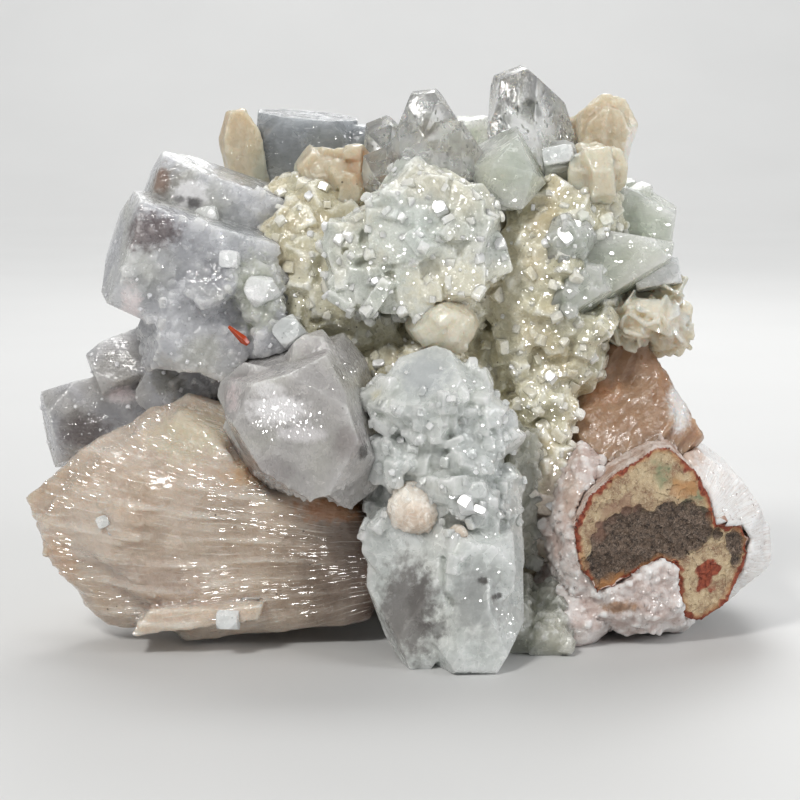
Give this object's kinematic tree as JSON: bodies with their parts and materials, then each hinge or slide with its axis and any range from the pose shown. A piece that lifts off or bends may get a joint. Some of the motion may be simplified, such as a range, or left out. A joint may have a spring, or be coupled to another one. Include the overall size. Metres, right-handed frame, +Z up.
{
  "type": "apophyllite cluster",
  "caption": "Cabinet mineral specimen: pale blocky apophyllite crystals and peach stilbite fans grown on a broken basalt matrix with a white zeolite crust.",
  "frame": {"origin": "centre of the specimen's footprint box, on the surface it rests on", "axes": "+X to the right of a viewer of the display side, along the width; -Y towards that viewer; +Z up"},
  "size_m": [0.1374, 0.0846, 0.1048],
  "materials": {
    "clear_apophyllite": "glassy translucent greenish-white crystal, pearly ends",
    "lavender_apophyllite": "glassy translucent lavender-grey crystal, pearly ends",
    "green_apophyllite": "glassy translucent pale green crystal",
    "stilbite": "pearly peach crystal with fine sparkling ridges",
    "red_mineral": "glassy red-orange splinter",
    "basalt": "matte broken basalt, dark brown with tan and red altered zones",
    "zeolite_crust": "matte white to pinkish fibrous crust",
    "druse": "sparkling beige and pale green small crystals"
  },
  "bodies": {
    "root": {"apophyllite_column": "clear_apophyllite", "apophyllite_block": "lavender_apophyllite", "apophyllite_left_shoulder": "lavender_apophyllite", "apophyllite_lower_left": "lavender_apophyllite", "apophyllite_centre": "clear_apophyllite", "apophyllite_top": "clear_apophyllite", "apophyllite_tall_point": "clear_apophyllite", "apophyllite_green": "green_apophyllite", "apophyllite_right_shoulder": "green_apophyllite", "apophyllite_back_left": "lavender_apophyllite", "apophyllite_back_top": "green_apophyllite", "apophyllite_pillar": "green_apophyllite", "apophyllite_foot": "green_apophyllite", "apophyllite_back": "clear_apophyllite", "apophyllite_back_low": "lavender_apophyllite", "stilbite_fan": "stilbite", "stilbite_left_blade": "stilbite", "stilbite_top_knob": "stilbite", "stilbite_top_sheaf": "stilbite", "stilbite_right_knob": "stilbite", "stilbite_centre_knob": "stilbite", "stilbite_right_sheaf": "stilbite", "stilbite_back_sheaf": "stilbite", "red_splinter": "red_mineral", "basalt_matrix": "basalt", "zeolite_crust": "zeolite_crust", "druse_bed": "druse"}
  },
  "joints": []
}
